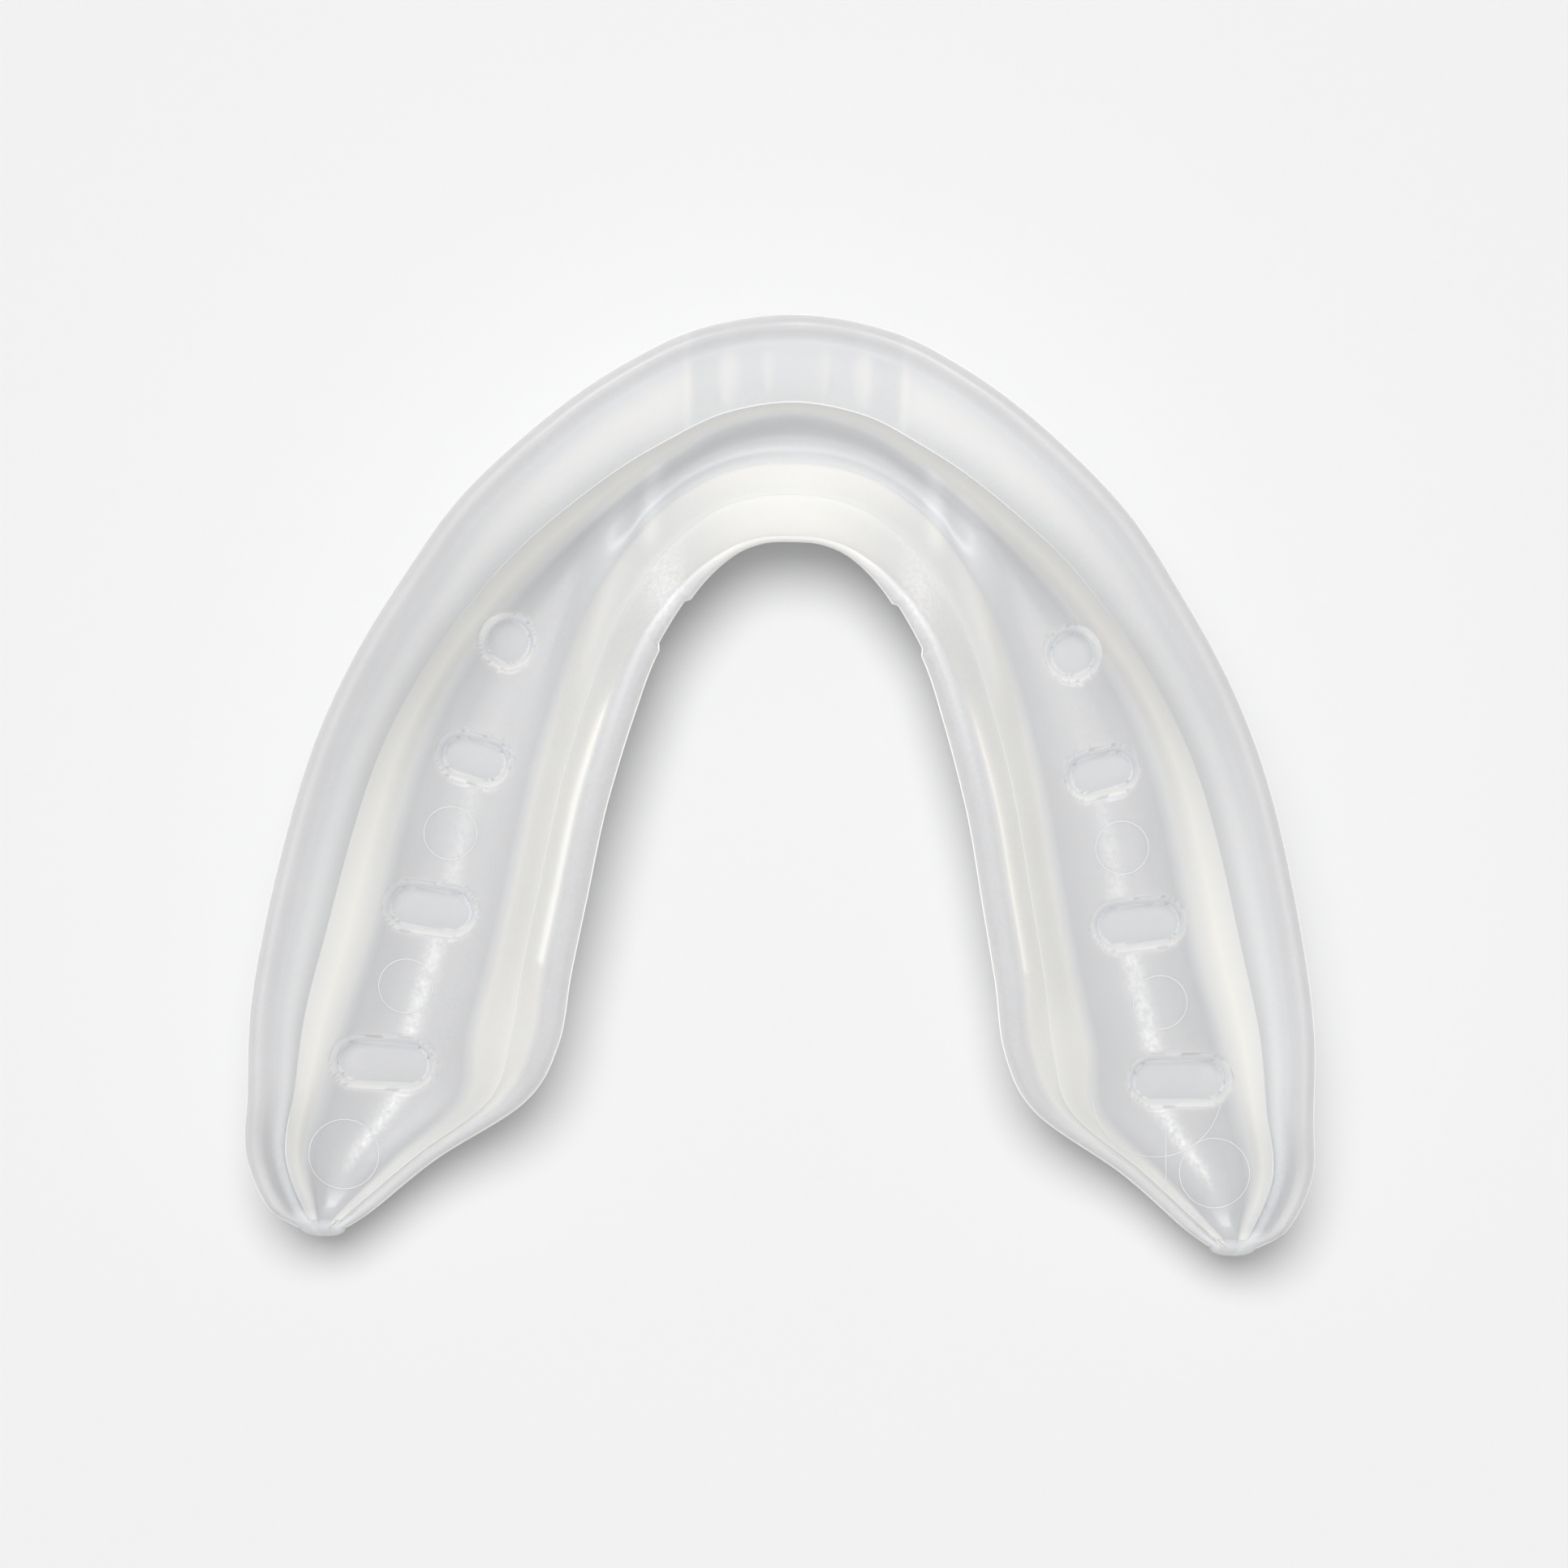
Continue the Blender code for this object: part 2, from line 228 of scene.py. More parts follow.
def smooth_run(points, counts):
    """Open Catmull-Rom curves through control points, shaped (rings, points, 2), by counts per leg."""
    first = 2 * points[:, :1] - points[:, 1:2]
    last = 2 * points[:, -1:] - points[:, -2:-1]
    p = np.concatenate([first, points, last], axis=1)
    result = []
    for leg, count in enumerate(counts):
        p0, p1, p2, p3 = (p[:, leg + k] for k in range(4))
        gaps = [np.maximum(np.linalg.norm(q - r, axis=1), 1e-6) ** 0.5
                for q, r in ((p1, p0), (p2, p1), (p3, p2))]
        g0, g1, g2 = (g[:, None] for g in gaps)
        m1 = (p2 - p1) + g1 * ((p1 - p0) / g0 - (p2 - p0) / (g0 + g1))
        m2 = (p2 - p1) + g1 * ((p3 - p2) / g2 - (p3 - p1) / (g1 + g2))
        for i in range(count):
            t = i / count
            h = (2 * t ** 3 - 3 * t ** 2 + 1, t ** 3 - 2 * t ** 2 + t,
                 -2 * t ** 3 + 3 * t ** 2, t ** 3 - t ** 2)
            result.append(h[0] * p1 + h[1] * m1 + h[2] * p2 + h[3] * m2)
    result.append(points[:, -1])
    return np.stack(result, axis=1)


def leg_counts(points, step):
    """Number of parts for each leg, so that none is longer than a step on the widest section."""
    legs = np.linalg.norm(np.diff(points, axis=1), axis=2).max(axis=0)
    return [max(1, int(math.ceil(leg / step))) for leg in legs]


def stack(pairs):
    """Control points given as (s, z) pairs of arrays, as one array shaped (rings, points, 2)."""
    size = max(np.size(s) for s, z in pairs)
    columns = [np.stack([np.broadcast_to(s, size), np.broadcast_to(z, size)], axis=1) for s, z in pairs]
    return np.stack(columns, axis=1)


def ramp(value, low, high):
    """Smooth step from 0 at low to 1 at high."""
    t = np.clip((value - low) / (high - low), 0.0, 1.0)
    return t * t * (3 - 2 * t)


def hump(value, middle, half):
    """Smooth hump, 1 at the middle, that fades out over a few times its half width."""
    return np.exp(-0.5 * ((value - middle) / half) ** 2)


class Sections:
    """Section shapes at a set of places along the half arch, in millimetres."""

    def __init__(self, places):
        self.places = places
        self.st = stations_at(places)
        self.outer, self.inner = self.st[:, 0:2], self.st[:, 2:4]
        across = self.inner - self.outer
        self.width = np.linalg.norm(across, axis=1)
        self.across = across / self.width[:, None]
        (self.rim, self.lip, self.edge_out, self.floor_out,
         self.floor_in, self.edge_in, self.lip_width, self.floor_z) = self.st[:, 4:12].T
        notch = ramp(places, NOTCH[0] - 0.02, NOTCH[0] + 0.02)
        notch *= (1.0 - ramp(places, NOTCH[1] - 0.02, NOTCH[1] + 0.02)) * sizes().notch_depth / MM
        self.width = self.width - notch
        self.floor_in, self.edge_in = self.floor_in - notch, self.edge_in - notch
        self.lip_width = self.lip_width - notch
        self.narrow = np.minimum(1.0, self.width / FULL_WIDTH)
        self.small = np.minimum(1.0, self.width / ROUND_WIDTH)
        # The channel is filled up to its rims in the point of the heel
        self.filled = ramp(places, 13.0, 13.9)
        # Parts of the arch whose painted light differs: the front's inner slope and its corners
        self.slope = 1.0 - ramp(places, 1.8, 3.6)
        self.corner = 0.33 * hump(places, 3.6, 1.1)

    def channel(self):
        """Surface of the channel below the liner's edges, from the lip side to the tongue side."""
        size = sizes()
        heights = {"": 0.0, "fillet": size.fillet / MM, "tongue_fillet": size.tongue_fillet / MM}
        share = 0.36 + 0.24 * ramp(self.places, 10.5, 12.0)
        top_out = self.floor_z + share * (self.rim - self.floor_z)
        foot = self.floor_z + heights["fillet"] * self.small
        tongue_foot = self.floor_z + heights["tongue_fillet"] * self.small
        along = (self.floor_in - self.edge_in) / np.maximum(self.floor_in - self.lip_width, 0.05)
        top_in = tongue_foot + along * (self.lip - 0.3 * self.small - tongue_foot)
        left, right = self.floor_out, self.width - self.floor_in
        points = [(self.edge_out, top_out),
                  (0.5 * (self.edge_out + left), 0.5 * (top_out + foot)), (left, foot)]
        for part, beside in FLOOR_PARTS:
            rise = FILLET_TAIL * heights[beside] - size.crown / MM * math.sin(math.pi * part)
            points.append((left + part * (right - left), self.floor_z + rise * self.small))
        points += [(right, tongue_foot), (self.width - self.edge_in, top_in)]
        path = stack(points)
        part = path[:, :, 0] / self.width[:, None]
        flat = self.rim[:, None] + (self.lip - self.rim)[:, None] * part - 0.1
        path[:, :, 1] += (flat - path[:, :, 1]) * self.filled[:, None]
        return path

    def sunk(self, path, edge_depth, floor_depth):
        """The channel's path moved into the material, by less at its ends than at the floor."""
        fade = ramp(self.places, LINER_END - LINER_FEATHER, LINER_END)
        share = self.narrow ** 1.5 * (1.0 - 0.95 * fade)
        last = path.shape[1] - 1
        moved = path.copy()
        for i in range(last + 1):
            run = path[:, min(i + 1, last)] - path[:, max(i - 1, 0)]
            run = run / np.linalg.norm(run, axis=1)[:, None]
            depth = edge_depth + (floor_depth - edge_depth) * min(1.0, 0.5 * min(i, last - i))
            depth = depth * share
            moved[:, i, 0] += run[:, 1] * depth
            moved[:, i, 1] -= run[:, 0] * depth
        return moved

    def outside(self):
        """Control points from the liner's edge over the rim, down the outside, under the base, up the
        tongue side and over its lip to the liner's other edge."""
        size = sizes()
        path = self.channel()
        small, w, lw = self.small, self.width, self.lip_width
        rim_width = np.minimum(size.rim_width / MM, self.edge_out * 0.6)
        out, inn = size.base_outer / MM * self.narrow, size.base_inner / MM * self.narrow
        rim, lip = self.rim, self.lip
        drop = size.rim_drop / MM * small * (1.0 - self.filled)
        points = [(path[:, 0, 0], path[:, 0, 1]),
                  (rim_width, rim - drop), (0.62 * rim_width, rim - 0.15 * drop),
                  (0.34 * rim_width, rim), (0.12 * rim_width, rim - 0.25 * small),
                  (0.0 * w, rim - small), (0.1 * out, rim - 2.6 * small), (0.42 * out, 0.52 * rim),
                  (0.76 * out, 2.2 + 0 * w), (0.88 * out, 0.6 + 0 * w), (1.15 * out, 0.0 * w),
                  (0.5 * (out + w - inn), 0.0 * w), (w - 1.3 * inn, 0.0 * w), (w - 0.55 * inn, 0.5 + 0 * w),
                  (w - 0.3 * inn, 2.0 + 0 * w), (w - 0.07 * inn, lip - 1.4), (w, lip - 0.7),
                  (w - 0.16 * lw, lip - 0.12), (w - 0.75 * lw, lip), (w - lw, lip - 0.3 * small),
                  (path[:, -1, 0], path[:, -1, 1])]
        return stack(points)

    def place(self, outline):
        """Points of a section outline, (rings, points, 2), as places in the frame, (rings, points, 3)."""
        xy = self.outer[:, None, :] + self.across[:, None, :] * outline[:, :, :1]
        spots = np.concatenate([xy, outline[:, :, 1:]], axis=2)
        spots[:, :, 1] -= MIDDLE_Y
        spots[:, :, 2] = np.maximum(spots[:, :, 2], 0.0)
        if self.places[0] == 0.0:
            spots[0, :, 0] = 0.0
        return spots


def lap_ends(path, lap):
    """Draws both ends of the channel's path out over the wall by lap, and a hair off its surface."""
    proud = 0.1 * lap
    for end, inner in ((0, 1), (-1, -2)):
        run = path[:, end] - path[:, inner]
        run = run / np.linalg.norm(run, axis=1)[:, None]
        side = 1.0 if end == 0 else -1.0
        path[:, end, 0] += run[:, 0] * lap + side * run[:, 1] * proud
        path[:, end, 1] += run[:, 1] * lap - side * run[:, 0] * proud


def round_end(spots):
    """Adds rings past the last one, each smaller, which round the end of the tube."""
    middle = spots[-1].mean(axis=0)
    ahead = middle - spots[-3].mean(axis=0)
    ahead /= np.linalg.norm(ahead)
    turns = np.radians((18.0, 36.0, 52.0, 66.0, 78.0))
    caps = [middle + ahead * sizes().heel_reach / MM * math.sin(turn)
            + (spots[-1] - middle) * math.cos(turn) for turn in turns]
    return np.concatenate([spots, np.stack(caps)])


def new_object(name, data):
    """New object in the scene."""
    thing = bpy.data.objects.new(name, data)
    bpy.context.scene.collection.objects.link(thing)
    return thing


def closed_loft(name, spots, layers):
    """Mesh of a tube of rings, (rings, points, 3), with its mirror image in x and both ends capped.
    Each layer is a pair of tables, for the -X and the +X half, with a number for each point. It is kept
    on the mesh for the finishes to read."""
    mirrored = spots[:0:-1] * np.array((-1.0, 1.0, 1.0))
    rings = np.concatenate([mirrored, spots])
    count, size = rings.shape[:2]
    index = np.arange(count * size).reshape(count, size)
    near, far = index[:-1], index[1:]
    quads = np.stack([near, np.roll(near, -1, axis=1), np.roll(far, -1, axis=1), far], axis=2)
    faces = quads.reshape(-1, 4).tolist() + [index[0].tolist(), index[-1, ::-1].tolist()]
    mesh = bpy.data.meshes.new(name)
    mesh.from_pydata((rings.reshape(-1, 3) * MM).tolist(), [], faces)
    for label, halves in layers.items():
        minus, plus = (np.pad(half, ((0, len(spots) - len(half)), (0, 0)), mode='edge') for half in halves)
        both = np.clip(np.concatenate([minus[:0:-1], plus]), 0.0, 1.0).astype(np.float32)
        mesh.attributes.new(label, 'FLOAT', 'POINT').data.foreach_set("value", both.ravel())
    builder = bmesh.new()
    builder.from_mesh(mesh)
    ends = [face for face in builder.faces if len(face.verts) > 4]
    bmesh.ops.triangulate(builder, faces=ends)
    bmesh.ops.recalc_face_normals(builder, faces=builder.faces[:])
    builder.to_mesh(mesh)
    builder.free()
    mesh.shade_smooth()
    mesh.set_sharp_from_angle(angle=math.radians(48.0))
    return new_object(name, mesh)


def capsule_distance(x, y, well):
    """Distance outside the outline of a well, negative inside, with the unit direction outwards."""
    cx, cy, size_long, size_wide, turn = well
    angle = math.radians(turn)
    dx, dy = x - cx, y - (cy - MIDDLE_Y)
    along = dx * math.cos(angle) + dy * math.sin(angle)
    side = -dx * math.sin(angle) + dy * math.cos(angle)
    reach = 0.5 * (size_long - size_wide)
    past = along - np.clip(along, -reach, reach)
    gap = np.maximum(np.hypot(past, side), 1e-9)
    ux, uy = past / gap, side / gap
    return (gap - 0.5 * size_wide, ux * math.cos(angle) - uy * math.sin(angle),
            ux * math.sin(angle) + uy * math.cos(angle))


def sink_wells(spots, floor_z):
    """Sinks the wells into the liner's surface, with grid points drawn onto the edges of their walls."""
    x, y, z = spots[..., 0], spots[..., 1], spots[..., 2]
    bottom = floor_z - sizes().well_depth / MM
    for well in WELLS:
        gap, ux, uy = capsule_distance(x, y, well)
        near = (gap < 1.0) & (gap > -1.2)
        lines = np.array(WELL_LINES)
        nearest = lines[np.argmin(np.abs(gap[..., None] - lines), axis=-1)]
        pull = np.where(near & (np.abs(gap - nearest) < 0.1), gap - nearest, 0.0)
        x -= pull * ux
        y -= pull * uy
        gap, ux, uy = capsule_distance(x, y, well)
        share = np.interp(-gap / WELL_WALL, (0.0, WELL_SHOULDER[0], 1.0), (0.0, WELL_SHOULDER[1], 1.0))
        z -= np.where(gap < 0, share * np.clip(z - bottom, 0.0, 1.9 * sizes().well_depth / MM), 0.0)


def fold_shares(spots):
    """How strongly each point lies on each of the folds, 0 to 1."""
    x, y = np.abs(spots[..., 0]), spots[..., 1] + MIDDLE_Y
    shares = []
    for near_x, near_y, far_x, far_y, half in FOLDS:
        along = (near_y - y) / (near_y - far_y)
        line = near_x + (far_x - near_x) * np.clip(along, 0.0, 1.0)
        shares.append(hump(x, line, half) * ramp(along, -0.3, 0.05) * (1.0 - ramp(along, 0.75, 1.15)))
    return shares


def raise_folds(spots, weight):
    """Raises the folds between the front channel and each back channel."""
    narrow, wide = fold_shares(spots)
    spots[..., 2] += (0.1 * narrow + wide) * weight * sizes().fold_height / MM


def cut_grooves(spots, across, weight):
    """Sinks the two upright grooves each side of the middle pad behind the front flange."""
    x = np.abs(spots[..., 0])
    groove = np.zeros_like(x)
    for low, high in GROOVES:
        between = ramp(x, low - 0.12, low + 0.12) * (1.0 - ramp(x, high - 0.12, high + 0.12))
        groove = np.maximum(groove, between)
    move = groove * weight * sizes().groove_depth / MM
    spots[..., 0] -= across[:, None, 0] * move
    spots[..., 1] -= across[:, None, 1] * move


def along_legs(values, counts):
    """Numbers for all points of a run, read linearly between those given for its control points.
    Each is one number or one for each ring."""
    columns = []
    for leg, count in enumerate(counts):
        for i in range(count):
            f = i / count
            columns.append((1 - f) * values[leg] + f * values[leg + 1])
    columns.append(values[-1])
    size = max(np.size(c) for c in columns)
    return np.stack([np.broadcast_to(c, size) for c in columns], axis=1)


def thinness(spots):
    """How freely light passes the material there: freely through the flange, less in the heels, and
    hardly at all at the front of the base."""
    x, y, z = spots[..., 0], spots[..., 1], spots[..., 2]
    flange = ramp(z, 6.5, 9.5) * ramp(np.hypot(x, y + 4.0), 15.0, 19.0)
    return np.maximum(flange, 0.02 + 0.5 * (1.0 - ramp(y, -18.0, 10.0)))


def both_halves(layer):
    """The pair of tables for a layer that is the same on both halves of the arch."""
    return layer, layer


# Finishes ------------------------------------------------------------------------------------------


def feed(tree, value, socket):
    """Gives an input another node's output, or a number or a colour."""
    if isinstance(value, bpy.types.NodeSocket):
        tree.links.new(value, socket)
    else:
        socket.default_value = value


def math_node(tree, operation, *values):
    """Output of a math node whose inputs are numbers or other nodes' outputs."""
    node = tree.nodes.new("ShaderNodeMath")
    node.operation = operation
    for socket, value in zip(node.inputs, values):
        feed(tree, value, socket)
    return node.outputs["Value"]


def blend_node(tree, share, low, high):
    """Output of a mix of two colours, each given as a colour or as another node's output."""
    node = tree.nodes.new("ShaderNodeMix")
    node.data_type = 'RGBA'
    for label, value in (("Factor", share), ("A", low), ("B", high)):
        feed(tree, value, next(s for s in node.inputs if s.name == label and s.enabled))
    return next(s for s in node.outputs if s.enabled)


def noise_node(tree, place, scale, detail):
    node = tree.nodes.new("ShaderNodeTexNoise")
    node.inputs["Scale"].default_value = scale
    node.inputs["Detail"].default_value = detail
    feed(tree, place, node.inputs["Vector"])
    return node.outputs["Fac"]


def haze_group():
    """Colour with its painted light and painted glints, roughness, grain and painted glow of the frosted
    material, shared by every finish.
    """
    name = "moulded_haze"
    if name in bpy.data.node_groups:
        return bpy.data.node_groups[name]
    tree = bpy.data.node_groups.new(name, 'ShaderNodeTree')
    for label, kind in (("Light", 'Float'), ("Warmth", 'Float'), ("Painted Glint", 'Float'),
                        ("Glow Share", 'Float'), ("Body", 'Color'), ("Cool", 'Color'), ("Warm", 'Color'),
                        ("Roughness", 'Float'), ("Cloudiness", 'Float'), ("Grain", 'Float')):
        tree.interface.new_socket(label, in_out='INPUT', socket_type='NodeSocket' + kind)
    for label, kind in (("Colour", 'Color'), ("Roughness", 'Float'), ("Height", 'Float'),
                        ("Painted Glow", 'Color')):
        tree.interface.new_socket(label, in_out='OUTPUT', socket_type='NodeSocket' + kind)
    given = tree.nodes.new("NodeGroupInput").outputs
    result = tree.nodes.new("NodeGroupOutput").inputs
    place = tree.nodes.new("ShaderNodeTexCoord").outputs["Object"]
    fine = noise_node(tree, place, 3200.0, 1.0)
    flecks = noise_node(tree, place, 3800.0, 3.0)
    clouds = noise_node(tree, place, 240.0, 4.0)
    # Painted light: the light layer mixes the body colour towards the cool flange light or the warm wall
    # light, as the warmth layer chooses
    hue = blend_node(tree, given["Warmth"], given["Cool"], given["Warm"])
    drift = math_node(tree, 'MULTIPLY', math_node(tree, 'SUBTRACT', clouds, 0.5), given["Cloudiness"])
    share = math_node(tree, 'ADD', given["Light"], drift)
    speckle = math_node(tree, 'MULTIPLY', math_node(tree, 'SUBTRACT', flecks, 0.5), given["Cloudiness"])
    share = math_node(tree, 'ADD', share, math_node(tree, 'MULTIPLY', speckle, 0.5))
    colour = blend_node(tree, share, given["Body"], hue)
    # Painted glints: flecked patches of the glint colour, as strong as the glint layer says
    patchy = math_node(tree, 'MULTIPLY_ADD', flecks, 1.6, -0.2)
    patch = math_node(tree, 'MULTIPLY', given["Painted Glint"], patchy)
    colour = blend_node(tree, patch, colour, colours().glint)
    feed(tree, colour, result["Colour"])
    fleck = math_node(tree, 'SUBTRACT', flecks, 0.5)
    rough = math_node(tree, 'MULTIPLY_ADD', fleck, 0.2, given["Roughness"])
    feed(tree, math_node(tree, 'MAXIMUM', rough, 0.3), result["Roughness"])
    coarse = math_node(tree, 'MULTIPLY', flecks, 0.6)
    height = math_node(tree, 'MULTIPLY_ADD', fine, 0.4, coarse)
    feed(tree, math_node(tree, 'MULTIPLY', height, given["Grain"]), result["Height"])
    # Painted glow: the colour, emitted as strongly as the inner layer says
    feed(tree, blend_node(tree, given["Glow Share"], (0.0, 0.0, 0.0, 1.0), colour), result["Painted Glow"])
    return tree


def attribute_node(tree, label):
    node = tree.nodes.new("ShaderNodeAttribute")
    node.attribute_name = label
    return node.outputs["Fac"]


def new_material(name):
    material = bpy.data.materials.new(name)
    material.use_nodes = True
    tree = material.node_tree
    return material, tree, tree.nodes["Principled BSDF"]


def let_light_pass(tree, shader):
    """Lets part of the light through in shadow, as a translucent moulding does, so its shadow is pale."""
    shadow = tree.nodes.new("ShaderNodeLightPath").outputs["Is Shadow Ray"]
    passing = math_node(tree, 'MULTIPLY', attribute_node(tree, "thin"), SHADOW_LIGHT)
    veil = math_node(tree, 'MULTIPLY', shadow, passing)
    feed(tree, math_node(tree, 'SUBTRACT', 1.0, veil), shader.inputs["Alpha"])


def frosted_material(name):
    """Material of a finish, whose colour with its painted light, painted glints and painted glow follows
    the layers kept on the mesh. Light scatters inside it everywhere but at a bond, where the pieces meet
    edge to edge."""
    roughness, reach, cloudiness, grain = FINISHES[name]
    material, tree, shader = new_material(name)
    haze = tree.nodes.new("ShaderNodeGroup")
    haze.node_tree = haze_group()
    for label, layer in (("Light", "light"), ("Warmth", "warmth"), ("Painted Glint", "painted_glint"),
                         ("Glow Share", "inner")):
        feed(tree, attribute_node(tree, layer), haze.inputs[label])
    for label, value in (("Body", colours().body), ("Cool", colours().cool), ("Warm", colours().warm),
                         ("Roughness", roughness), ("Cloudiness", cloudiness), ("Grain", grain)):
        haze.inputs[label].default_value = value
    feed(tree, haze.outputs["Colour"], shader.inputs["Base Color"])
    feed(tree, haze.outputs["Roughness"], shader.inputs["Roughness"])
    # Painted glow: emission in the colour, where the inner layer says
    feed(tree, haze.outputs["Painted Glow"], shader.inputs["Emission Color"])
    bump = tree.nodes.new("ShaderNodeBump")
    bump.inputs["Distance"].default_value = GRAIN_DEPTH
    feed(tree, haze.outputs["Height"], bump.inputs["Height"])
    feed(tree, bump.outputs["Normal"], shader.inputs["Normal"])
    shader.inputs["Emission Strength"].default_value = PAINTED_GLOW_STRENGTH
    shader.inputs["IOR"].default_value = 1.45
    shader.inputs["Subsurface Radius"].default_value = (1.0, 0.9, 0.8)
    shader.inputs["Subsurface Scale"].default_value = reach
    deep = math_node(tree, 'SUBTRACT', 1.0, attribute_node(tree, "bond"))
    feed(tree, deep, shader.inputs["Subsurface Weight"])
    let_light_pass(tree, shader)
    return material


def finish_piece(piece, slot, *nodes):
    """Fixes a piece to its body and hides the solids that it replaces; its slot is not used."""
    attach(piece, "root")
    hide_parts(*nodes)


# Raised lines --------------------------------------------------------------------------------------


def line_tree():
    """Geometry nodes that turn runs of edges into thin raised lines with a round section."""
    name = "raised_line"
    if name in bpy.data.node_groups:
        return bpy.data.node_groups[name]
    tree = bpy.data.node_groups.new(name, 'GeometryNodeTree')
    for label, direction, kind in (("Geometry", 'INPUT', 'Geometry'), ("Radius", 'INPUT', 'Float'),
                                   ("Sides", 'INPUT', 'Int'), ("Material", 'INPUT', 'Material'),
                                   ("Geometry", 'OUTPUT', 'Geometry')):
        tree.interface.new_socket(label, in_out=direction, socket_type='NodeSocket' + kind)
    given = tree.nodes.new("NodeGroupInput").outputs
    runs = tree.nodes.new("GeometryNodeMeshToCurve")
    circle = tree.nodes.new("GeometryNodeCurvePrimitiveCircle")
    tube = tree.nodes.new("GeometryNodeCurveToMesh")
    smooth = tree.nodes.new("GeometryNodeSetShadeSmooth")
    real = tree.nodes.new("GeometryNodeRealizeInstances")
    paint = tree.nodes.new("GeometryNodeSetMaterial")
    result = tree.nodes.new("NodeGroupOutput").inputs
    tube.inputs["Fill Caps"].default_value = True
    for source, target in ((given["Geometry"], runs.inputs["Mesh"]),
                           (given["Radius"], circle.inputs["Radius"]),
                           (given["Sides"], circle.inputs["Resolution"]),
                           (runs.outputs["Curve"], tube.inputs["Curve"]),
                           (circle.outputs["Curve"], tube.inputs["Profile Curve"]),
                           (tube.outputs["Mesh"], smooth.inputs["Geometry"]),
                           (smooth.outputs["Geometry"], real.inputs["Geometry"]),
                           (real.outputs["Geometry"], paint.inputs["Geometry"]),
                           (given["Material"], paint.inputs["Material"]),
                           (paint.outputs["Geometry"], result["Geometry"])):
        feed(tree, source, target)
    return tree


def raised_lines(name, runs, radius, material, light):
    """One piece of thin raised lines along runs of points in metres, each with True if it is closed."""
    spots, edges = [], []
    for points, closed in runs:
        first, count = len(spots), len(points)
        spots += [tuple(point) for point in points]
        edges += [(first + i, first + (i + 1) % count) for i in range(count if closed else count - 1)]
    guide_mesh = bpy.data.meshes.new(name + "_guide")
    guide_mesh.from_pydata(spots, edges, [])
    guide = new_object(name + "_guide", guide_mesh)
    modifier = guide.modifiers.new("lines", 'NODES')
    modifier.node_group = line_tree()
    settings = {"Radius": radius, "Sides": LINE_SIDES, "Material": material}
    for item in modifier.node_group.interface.items_tree:
        if item.in_out == 'INPUT' and item.name in settings:
            modifier[item.identifier] = settings[item.name]
    evaluated = guide.evaluated_get(bpy.context.evaluated_depsgraph_get())
    mesh = bpy.data.meshes.new_from_object(evaluated)
    mesh.name = name
    builder = bmesh.new()
    builder.from_mesh(mesh)
    bmesh.ops.recalc_face_normals(builder, faces=builder.faces[:])
    builder.to_mesh(mesh)
    builder.free()
    # Painted light, its warmth and painted glow, the same all along the lines
    for label, value in (("light", light), ("inner", 0.2), ("thin", 1.0), ("warmth", 0.6), ("bond", 1.0)):
        layer = mesh.attributes.new(label, 'FLOAT', 'POINT')
        layer.data.foreach_set("value", np.full(len(mesh.vertices), value, np.float32))
    bpy.data.objects.remove(guide, do_unlink=True)
    return new_object(name, mesh)


def laid_on(piece, flat_points, above):
    """Points in millimetres laid on top of a piece, a little above its surface, as places in metres."""
    laid = []
    for x, y in flat_points:
        top = Vector((x * MM, (y - MIDDLE_Y) * MM, 0.05))
        hit, spot, normal, face = piece.ray_cast(top, Vector((0.0, 0.0, -1.0)))
        if hit:
            laid.append(spot + normal * above)
    return laid


def ring_points(x, y, radius, count=72):
    turns = [2.0 * math.pi * i / count for i in range(count)]
    return [(x + radius * math.cos(turn), y + radius * math.sin(turn)) for turn in turns]


# Operators -----------------------------------------------------------------------------------------


